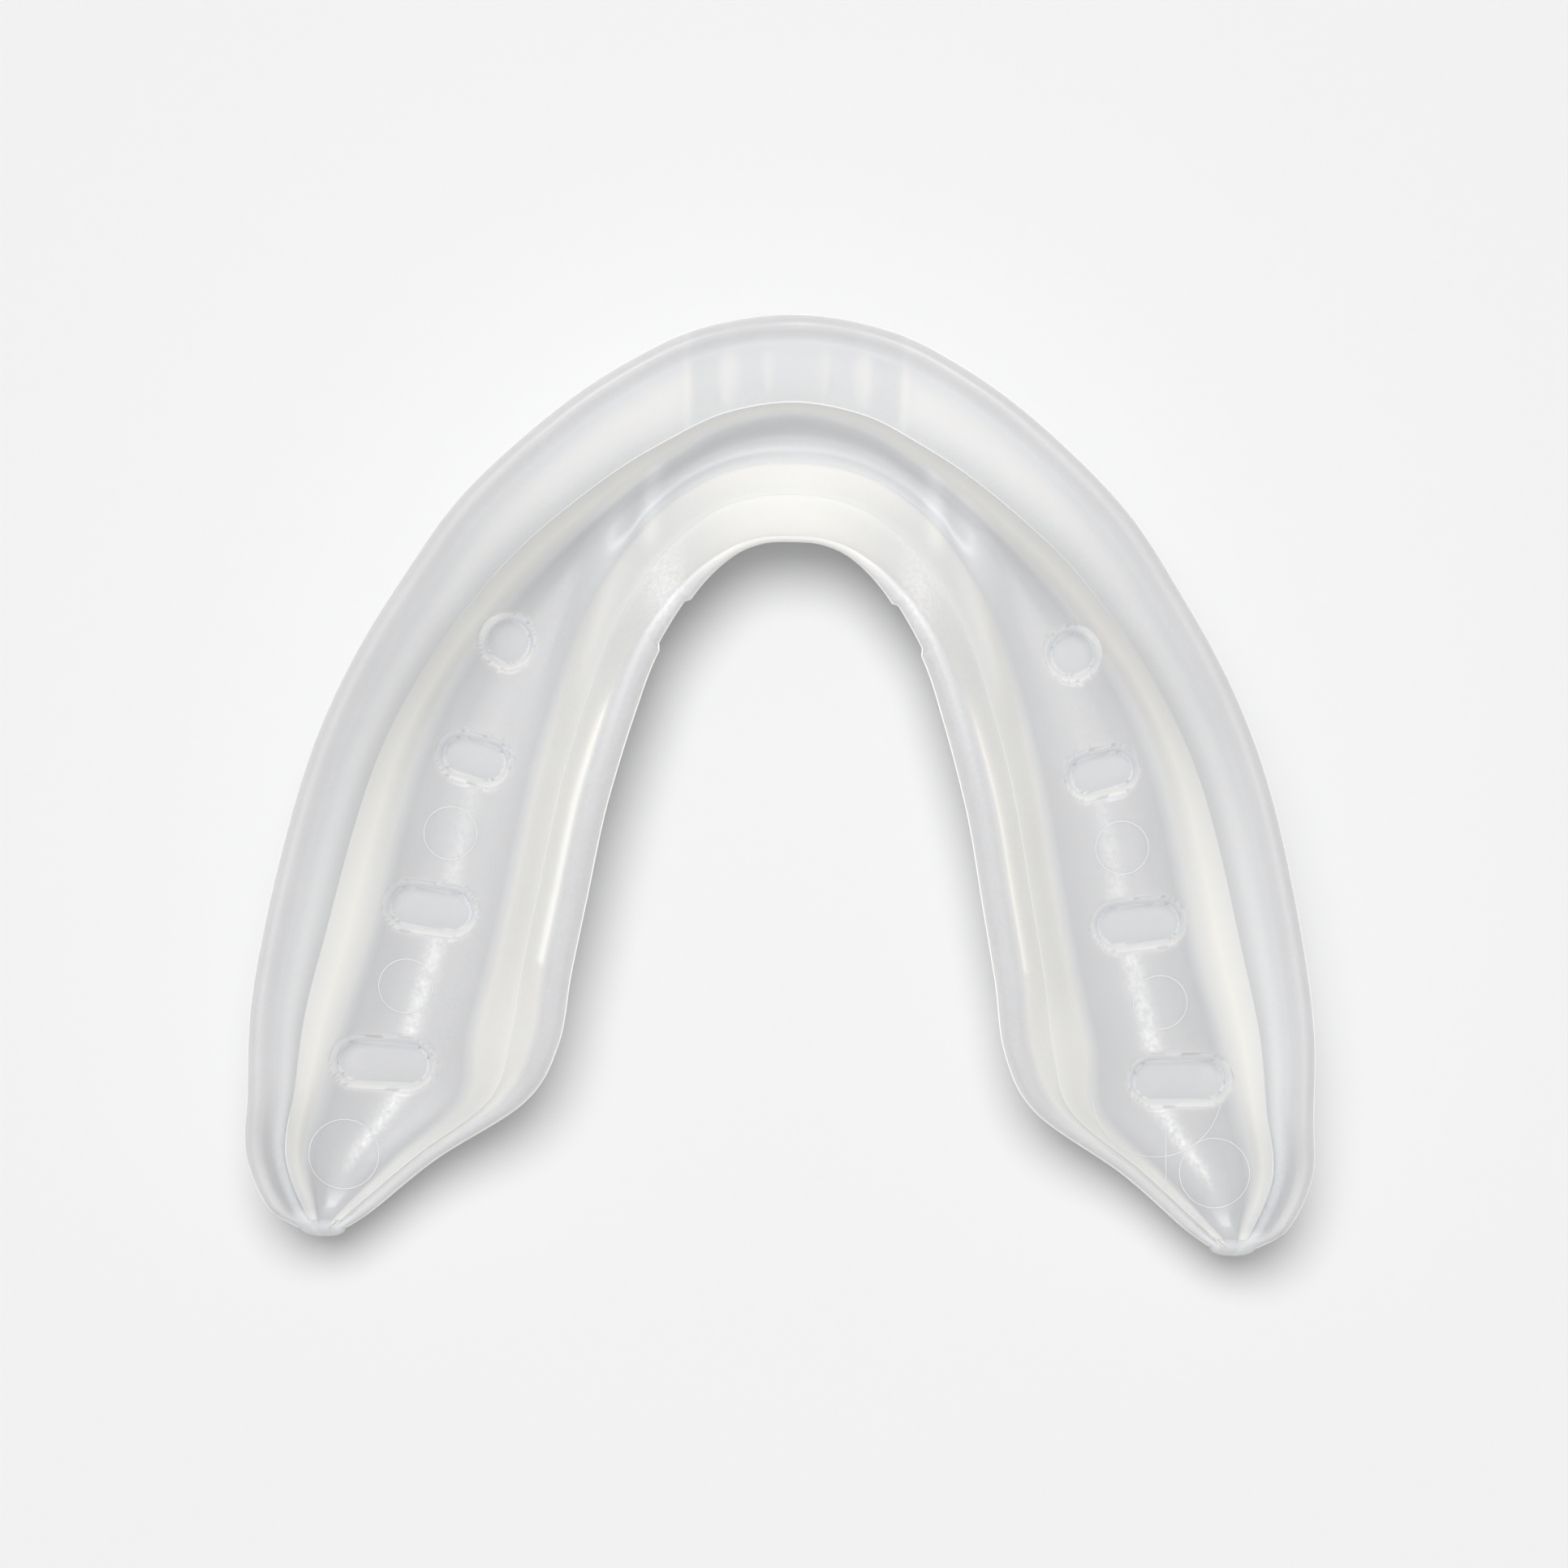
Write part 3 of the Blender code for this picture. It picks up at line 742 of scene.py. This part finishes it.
class GUARD_OT_outer_shell(bpy.types.Operator):
    """Moulds the outer shell: base, lip-side flange with its rim, tongue-side wall and heels"""
    bl_idname = "guard.outer_shell"
    bl_label = "Outer Shell"

    def execute(self, context):
        size = sizes()
        sections = Sections(even_places(len(STATIONS) - 1, size.ring_step / MM))
        outside = sections.outside()
        path = sections.channel()
        seat = sections.sunk(path, size.liner_edge / MM + SEAT_GAP, size.liner_floor / MM + SEAT_GAP)
        counts = leg_counts(outside, SHELL_LEG)
        counts[LIP_CREST] = LIP_PARTS
        over = smooth_run(outside, counts)
        under = smooth_run(seat[:, ::-1], leg_counts(seat, SEAT_LEG))
        spots = sections.place(np.concatenate([over, under], axis=1))
        up = np.zeros(spots.shape[1])
        up[:counts[0] + 1] = np.arange(counts[0] + 1) / counts[0]
        wall = ramp(up, 0.1, 0.2) * (1.0 - ramp(up, 0.75, 0.95))
        cut_grooves(spots, sections.across, wall[None, :])
        layers = self.layers(sections, counts, spots, up)
        piece = closed_loft("outer_shell_moulding", round_end(spots), layers)
        piece.data.materials.append(frosted_material("frosted_shell"))
        finish_piece(piece, "frosted_shell", "outer_shell")
        return {'FINISHED'}

    def layers(self, sections, counts, spots, up):
        """Painted light, its warmth, painted glow and painted glints of the shell, and how light passes and
        where it bonds:
        control points run from the liner's edge over the rim, down the outside, under the base and up the
        tongue side to the liner's other edge."""
        front = 1.0 - ramp(sections.places, 1.5, 6.0)
        slope, corner = sections.slope, sections.corner
        rest = np.zeros((len(spots), spots.shape[1] - sum(counts) - 1))
        x, y = spots[..., 0], spots[..., 1] + MIDDLE_Y
        flange = hump(up, 0.5, 0.22)[None, :]

        def spread(values):
            given = along_legs(values, counts)
            return np.concatenate([np.broadcast_to(given, (len(spots), given.shape[1])), rest], axis=1)

        rear = ramp(sections.places, 10.5, 12.5)
        tip = 1.0 - ramp(sections.places, 12.6, 13.5)
        # Painted light, its warmth and painted glow at each control point, less towards the heel
        light = spread([0.5 + 0.2 * front - 0.35 * rear, 0.5 + 0.2 * front - 0.4 * rear, 0.2, 0.1,
                        0.25 * tip, 0.75 * tip] + [0.35] * 4 + [0.0] * 4
                       + [0.3, 0.35, 0.7 * tip, 0.12 + 0.42 * slope, 0.05 + 0.42 * slope,
                          (0.5 - 0.05 * slope - corner) * tip, (0.5 - 0.1 * slope - corner) * tip])
        warmth = spread([0.2] + [0.0] * 4 + [0.8] + [0.0] * 9 + [0.3, 0.9, slope, slope, 1.0, 1.0])
        inner = spread([0.12 + 0.2 * front, 0.3 + 0.1 * front - 0.25 * rear, 0.1 - 0.1 * rear] + [0.0] * 13
                       + [0.2 * tip, 0.0, 0.0, 0.0, 0.1])
        # Painted light over the flange's inner face, and over the point of the heel
        light = light + flange * (0.24 + 0.06 * front - 0.2 * rear)[:, None]
        light = np.maximum(light, 0.3 * ramp(sections.places, 12.9, 13.5)[:, None])
        # The pad behind the front flange: its painted light toned down, a little painted shade in its
        # grooves, and painted highlights and painted glow in upright lines beside them
        grooves = sum(hump(np.abs(x), 0.5 * (low + high), 0.8) for low, high in GROOVES)
        groove_highlights = sum(height * hump(np.abs(x), middle, half) for middle, half, height in GROOVE_HIGHLIGHTS)
        pad_front = flange * (1.0 - ramp(np.abs(x), 6.8, 7.2)) * ramp(y, 15.0, 20.0)
        light = light * (1.0 - 0.15 * pad_front) + pad_front * (0.9 * groove_highlights - 0.02 * grooves)
        inner = inner + pad_front * (0.2 * groove_highlights - 0.08)
        warmth = warmth + pad_front * groove_highlights * 0.6
        # Painted glints: over the flange beside the pad, along the lip's edge and behind the front's
        # corners, with painted glow over the flange; the lip's edge also gets painted light, more on the -X
        # arm
        panel = ramp(np.abs(x), 6.3, 6.6) * (1.0 - 0.8 * ramp(np.abs(x), 12.0, 23.0))
        painted_glint = flange * panel * 0.9
        ahead = 1.0 - ramp(sections.places, 3.0, 6.0)
        inner = inner + flange * (0.1 * (1.0 - rear)[:, None] + 0.08 * panel * ahead[:, None])
        lip_edge = spread([0.0] * (LIP_CREST + 1) + [1.0, 0.0]) ** 6
        edge = lip_edge * ramp(y, -11.2, -10.8) * (1.0 - ramp(y, 2.0, 6.0))
        patch = hump(np.abs(x), 7.6, 0.8) * hump(y, 11.5, 1.8) * ramp(spots[..., 2], 5.8, 6.4) * 0.5
        painted_glint = (painted_glint + edge * 0.5 + patch, painted_glint + edge * 0.2 + patch * 0.8)
        # Bonded along both edges of the liner, and solid in the point of the heel
        point = np.arange(spots.shape[1])
        seam = np.maximum(1.0 - ramp(point, 1.0, 3.0), 1.0 - ramp(np.abs(point - sum(counts)), 1.0, 2.5))
        bond = np.maximum(seam[None, :], ramp(sections.places, 12.9, 13.4)[:, None])
        return {"light": (light + edge, light + 0.3 * edge), "warmth": both_halves(warmth),
                "inner": both_halves(inner), "painted_glint": painted_glint, "thin": both_halves(thinness(spots)),
                "bond": both_halves(bond)}


class GUARD_OT_fit_liner(bpy.types.Operator):
    """Moulds the fitting liner with its eight wells"""
    bl_idname = "guard.fit_liner"
    bl_label = "Fitting Liner"

    def execute(self, context):
        size = sizes()
        sections = Sections(even_places(LINER_END, 0.8 * size.ring_step / MM))
        path = sections.channel()
        bottom = sections.sunk(path, size.liner_edge / MM, size.liner_floor / MM)
        lap_ends(path, size.bond_lap / MM)
        counts = leg_counts(path, LINER_LEG)
        top = smooth_run(path, counts)
        under = smooth_run(bottom[:, ::-1], leg_counts(bottom, UNDER_LEG))
        spots = sections.place(np.concatenate([top, under], axis=1))
        surface = spots[:, :top.shape[1]]
        floor_z = sections.floor_z[:, None]
        weight = 1.0 - ramp(surface[..., 2], floor_z + 0.6, floor_z + 2.6)
        raise_folds(surface, weight)
        sink_wells(surface, floor_z)
        layers = self.layers(sections, counts, surface, weight)
        rest = np.zeros(under.shape[:2])
        layers = {label: [np.concatenate([half, rest], axis=1) for half in halves]
                  for label, halves in layers.items()}
        piece = closed_loft("fit_liner_moulding", spots, layers)
        piece.data.materials.append(frosted_material("clear_liner"))
        finish_piece(piece, "clear_liner", "fit_liner")
        return {'FINISHED'}

    def layers(self, sections, counts, surface, weight):
        """Painted light, its warmth, painted glow and painted glints of the liner, and how light passes and
        where it bonds:
        control points run from its lip-side edge over the floor to its tongue-side edge."""
        front = 1.0 - ramp(sections.places, 1.5, 5.0)
        slope, corner = sections.slope, sections.corner
        x, y = surface[..., 0], surface[..., 1] + MIDDLE_Y
        # Painted light, its warmth and painted glow at each control point, more on the front's slope, on
        # the front floor and in the heel
        floor_light = 0.06 * front
        heel = 0.12 * ramp(sections.places, 12.3, 13.2)
        light = along_legs([0.6, 0.65, 0.4, 0.05 + floor_light + heel] + [floor_light + heel] * 2
                           + [0.1 * slope + floor_light + heel, 0.3 * slope + floor_light + heel,
                              0.45 - 0.05 * slope - corner, 0.5 - 0.1 * slope - corner], counts)
        warmth = along_legs([0.6, 1.0, 0.6] + [0.0] * 4 + [0.2, 1.0, 1.0], counts)
        inner = along_legs([0.1, 0.3 - 0.05 * slope, 0.15 + 0.35 * slope, 0.5 * slope + 0.5 * heel]
                           + [0.25 * slope + 0.5 * heel] * 3 + [0.45 * slope + 0.5 * heel] * 2
                           + [0.2 - 0.2 * slope], counts)
        narrow_fold, wide_fold = fold_shares(surface)
        # Painted light on the folds
        light = light + (0.25 * narrow_fold + 0.16 * wide_fold) * weight
        # Painted highlight along the floor of each arm, which the wells interrupt
        start = sum(counts[:3])
        parts = np.arange(light.shape[1])[None, :] - start
        across = np.clip(parts / max(sum(counts[3:7]), 1), -1.0, 2.0)
        streak = hump(across, STREAK_PART, 0.06) * ramp(-y, -10.0, 18.0)
        streak = streak * (1.0 - ramp(sections.places, 11.8, 12.6))[:, None]
        # Painted light on each well's wall all round and a little on its bottom, warmer on its heel side,
        # with painted glow
        for well in WELLS:
            gap, _, ahead = capsule_distance(x, surface[..., 1], well)
            wall = ramp(-gap, 0.0, 0.1) * (1.0 - ramp(-gap, WELL_WALL, WELL_WALL + 0.15))
            bottom = ramp(-gap, WELL_WALL, WELL_WALL + 0.15)
            lower = ramp(-ahead, -0.1, 0.8)
            light = light + (0.4 + 0.15 * lower) * wall + 0.02 * bottom
            warmth = warmth + 0.7 * wall * lower
            inner = inner + (0.34 - 0.14 * lower) * wall
            streak = streak * ramp(gap, -0.05, 0.25)
        # A painted glint behind each of the front's corners
        patch = hump(np.abs(x), 8.0, 0.9) * hump(y, 11.5, 1.8) * (1.0 - weight) * 0.4
        painted_glint = streak * 0.65 + patch
        # Bonded along both edges, and where it thins out
        point = np.arange(light.shape[1])
        seam = 1.0 - ramp(np.minimum(point, point[::-1]), 1.0, 4.0)
        feathered = ramp(sections.places, LINER_END - LINER_FEATHER, LINER_END - 0.3)
        bond = np.maximum(seam[None, :], feathered[:, None])
        return {"light": both_halves(light), "warmth": both_halves(warmth), "inner": both_halves(inner),
                "painted_glint": both_halves(painted_glint), "thin": both_halves(thinness(surface)),
                "bond": both_halves(bond)}


class GUARD_OT_mould_lines(bpy.types.Operator):
    """Lays the thin flash lines where the halves of the mould met, along the rim and the inner contour"""
    bl_idname = "guard.mould_lines"
    bl_label = "Mould Lines"

    def execute(self, context):
        sections = Sections(even_places(len(STATIONS) - 1, 2.0 * sizes().ring_step / MM))
        outside = sections.outside()
        runs = []
        for point in (OUTER_CONTOUR, INNER_CONTOUR):
            half = sections.place(outside[:, point:point + 1])[:, 0] * MM
            mirrored = half[:0:-1] * np.array((-1.0, 1.0, 1.0))
            runs.append((np.concatenate([mirrored, half]).tolist(), False))
        material = frosted_material("mould_flash")
        # 0.9 is the painted light on the flash lines
        piece = raised_lines("mould_lines", runs, sizes().line_radius, material, 0.9)
        finish_piece(piece, "frosted_shell")
        return {'FINISHED'}


class GUARD_OT_pin_marks(bpy.types.Operator):
    """Lays the rings that the ejector pins left on the bite floor, and the gate's ring on one arm"""
    bl_idname = "guard.pin_marks"
    bl_label = "Pin Marks"

    def execute(self, context):
        liner = bpy.data.objects["fit_liner_moulding"]
        context.view_layer.update()
        radius = 0.65 * sizes().line_radius
        runs = []
        for side in (1, -1):
            for x, y, size in PIN_MARKS:
                runs.append((laid_on(liner, ring_points(side * x, y, size), 0.0), True))
        x, y, size = GATE_RING
        arc = [point for point in ring_points(x, y, size, 144) if point[1] < y - 0.15 * size]
        runs.append((laid_on(liner, arc, -0.2 * radius), False))
        runs.append((laid_on(liner, np.linspace(*GATE_SEAM, 13), 0.0), False))
        material = frosted_material("pin_mark")
        # 0.35 is the painted light on the rings
        piece = raised_lines("ejector_pin_marks", runs, radius, material, 0.35)
        finish_piece(piece, "clear_liner")
        return {'FINISHED'}


class GUARD_OT_studio(bpy.types.Operator):
    """Sets up the pale floor, the soft light and the camera straight above"""
    bl_idname = "guard.studio"
    bl_label = "Studio"

    def execute(self, context):
        scene = context.scene
        scene.view_settings.view_transform = 'Standard'
        scene.view_settings.look = 'None'
        self.lay_floor()
        self.hang_lights(scene)
        self.place_camera(scene)
        return {'FINISHED'}

    def lay_floor(self):
        builder = bmesh.new()
        bmesh.ops.create_grid(builder, x_segments=2, y_segments=2, size=1.5)
        mesh = bpy.data.meshes.new("studio_floor")
        builder.to_mesh(mesh)
        builder.free()
        floor = new_object("studio_floor", mesh)
        mesh.transform(Matrix.Translation((0.0, 0.0, -0.00005)))
        material, tree, shader = new_material("pale_floor")
        shader.inputs["Base Color"].default_value = colours().floor
        shader.inputs["Roughness"].default_value = 0.9
        shader.inputs["Specular IOR Level"].default_value = 0.1
        mesh.materials.append(material)

    def hang_lights(self, scene):
        """Lights the room. The fill from the front falls on the pieces only, not on the floor."""
        world = bpy.data.worlds.new("studio_room")
        world.use_nodes = True
        background = world.node_tree.nodes["Background"].inputs
        background["Color"].default_value = (1.0, 1.0, 1.0, 1.0)
        background["Strength"].default_value = ROOM_LIGHT
        scene.world = world
        for name, strength, across, way in SUNS:
            light = bpy.data.lights.new(name, 'SUN')
            light.energy = strength
            light.angle = math.radians(across)
            lamp = new_object(name, light)
            lamp.rotation_euler = Vector(way).to_track_quat('Z', 'Y').to_euler()
        lit = bpy.data.collections.new("lit_by_fill")
        for piece in bpy.data.objects:
            if piece.name.endswith(("_moulding", "_lines", "_marks")):
                lit.objects.link(piece)
        bpy.data.objects["front_fill"].light_linking.receiver_collection = lit

    def place_camera(self, scene):
        camera = bpy.data.cameras.new("camera")
        camera.lens = camera.sensor_width * (CAMERA_PLACE[2] - VIEW_HEIGHT) / VIEW_WIDTH
        camera.clip_end = 10.0
        eye = new_object("camera", camera)
        eye.location = CAMERA_PLACE
        eye.rotation_euler = (0.0, 0.0, math.radians(CAMERA_TURN))
        scene.camera = eye


class GUARD_PT_panel(bpy.types.Panel):
    """Lists the pieces of the mouthguard"""
    bl_idname = "GUARD_PT_panel"
    bl_label = "Mouthguard"
    bl_space_type = 'VIEW_3D'
    bl_region_type = 'UI'
    bl_category = "Mouthguard"

    def draw(self, context):
        column = self.layout.column()
        for operator in OPERATORS:
            column.operator(operator.bl_idname)
        for settings in (context.scene.guard_sizes, context.scene.guard_colours):
            for name in settings.__annotations__:
                column.prop(settings, name)


OPERATORS = (GUARD_OT_outer_shell, GUARD_OT_fit_liner, GUARD_OT_mould_lines, GUARD_OT_pin_marks,
             GUARD_OT_studio)
CLASSES = (GuardSizes, GuardColours) + OPERATORS + (GUARD_PT_panel,)


def register():
    for cls in CLASSES:
        bpy.utils.register_class(cls)
    bpy.types.Scene.guard_sizes = bpy.props.PointerProperty(type=GuardSizes)
    bpy.types.Scene.guard_colours = bpy.props.PointerProperty(type=GuardColours)


def unregister():
    del bpy.types.Scene.guard_colours
    del bpy.types.Scene.guard_sizes
    for cls in reversed(CLASSES):
        bpy.utils.unregister_class(cls)


def main():
    register()
    bpy.ops.guard.outer_shell()
    bpy.ops.guard.fit_liner()
    bpy.ops.guard.mould_lines()
    bpy.ops.guard.pin_marks()
    bpy.ops.guard.studio()
    bpy.context.view_layer.update()


if __name__ == "__main__":
    main()
